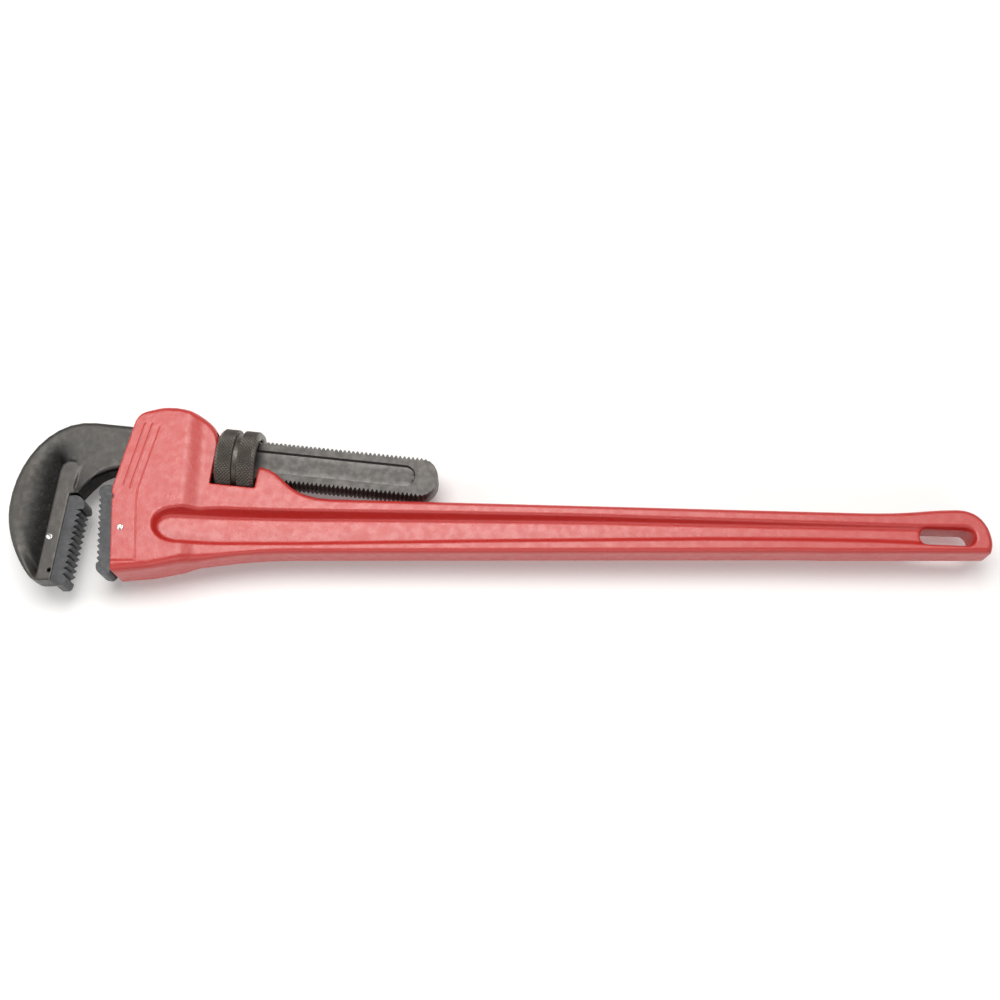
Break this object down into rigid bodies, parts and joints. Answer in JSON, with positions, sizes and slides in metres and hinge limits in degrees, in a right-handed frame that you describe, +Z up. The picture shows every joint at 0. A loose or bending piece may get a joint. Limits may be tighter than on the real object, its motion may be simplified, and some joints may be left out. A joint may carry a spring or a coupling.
{
  "type": "pipe wrench",
  "caption": "Large straight pipe wrench: cast I-section handle with housing, threaded sliding hook jaw, knurled adjusting nut and toothed jaw inserts.",
  "frame": {"origin": "below the middle of the bounding box, at the height of its lowest point, with the wrench lying flat", "axes": "+X from the hook to the grip along the handle, +Y from the handle to the adjusting nut's side, +Z up through the thickness"},
  "size_m": [1.423, 0.27, 0.096],
  "materials": {
    "red_paint": "glossy enamel over sand-cast iron",
    "forged_steel": "satin black oxide over a forged skin",
    "toothed_steel": "satin black oxide, machined",
    "knurled_steel": "phosphated, knurled, brighter on the groove",
    "bright_steel": "bright",
    "spring_steel": "blued"
  },
  "bodies": {
    "handle": {"handle_body": "red_paint", "heel_jaw": "toothed_steel", "heel_jaw_pin": "bright_steel", "coil_spring": "spring_steel"},
    "spring_leaf": {"flat_spring": "spring_steel", "spring_rivet": "bright_steel"},
    "hook": {"hook_jaw": "forged_steel", "hook_jaw_insert": "toothed_steel", "hook_insert_pin": "bright_steel"},
    "nut": {"adjusting_nut": "knurled_steel"}
  },
  "joints": [
    {"name": "jaw_rock", "type": "hinge", "parent": "handle", "child": "spring_leaf", "pos_m": [-0.37778, 0.05747, 0.048], "axis": [0, 0, 1], "range_deg": [0, 2], "stiffness_Nm_per_rad": 150, "springref_deg": -5.73, "deforming": ["coil_spring"]},
    {"name": "jaw_slide", "type": "slide", "parent": "spring_leaf", "child": "hook", "axis": [-0.994, 0.1097, 0], "range_m": [-0.015, 0.19]},
    {"name": "nut_spin", "type": "hinge", "parent": "spring_leaf", "child": "nut", "pos_m": [-0.37778, 0.05747, 0.048], "axis": [0.994, -0.1097, 0], "range_deg": [-851, 10772]}
  ],
  "couplings": [
    {"joint": "nut_spin", "follows": "jaw_slide", "rad_per_m": 989.48}
  ]
}
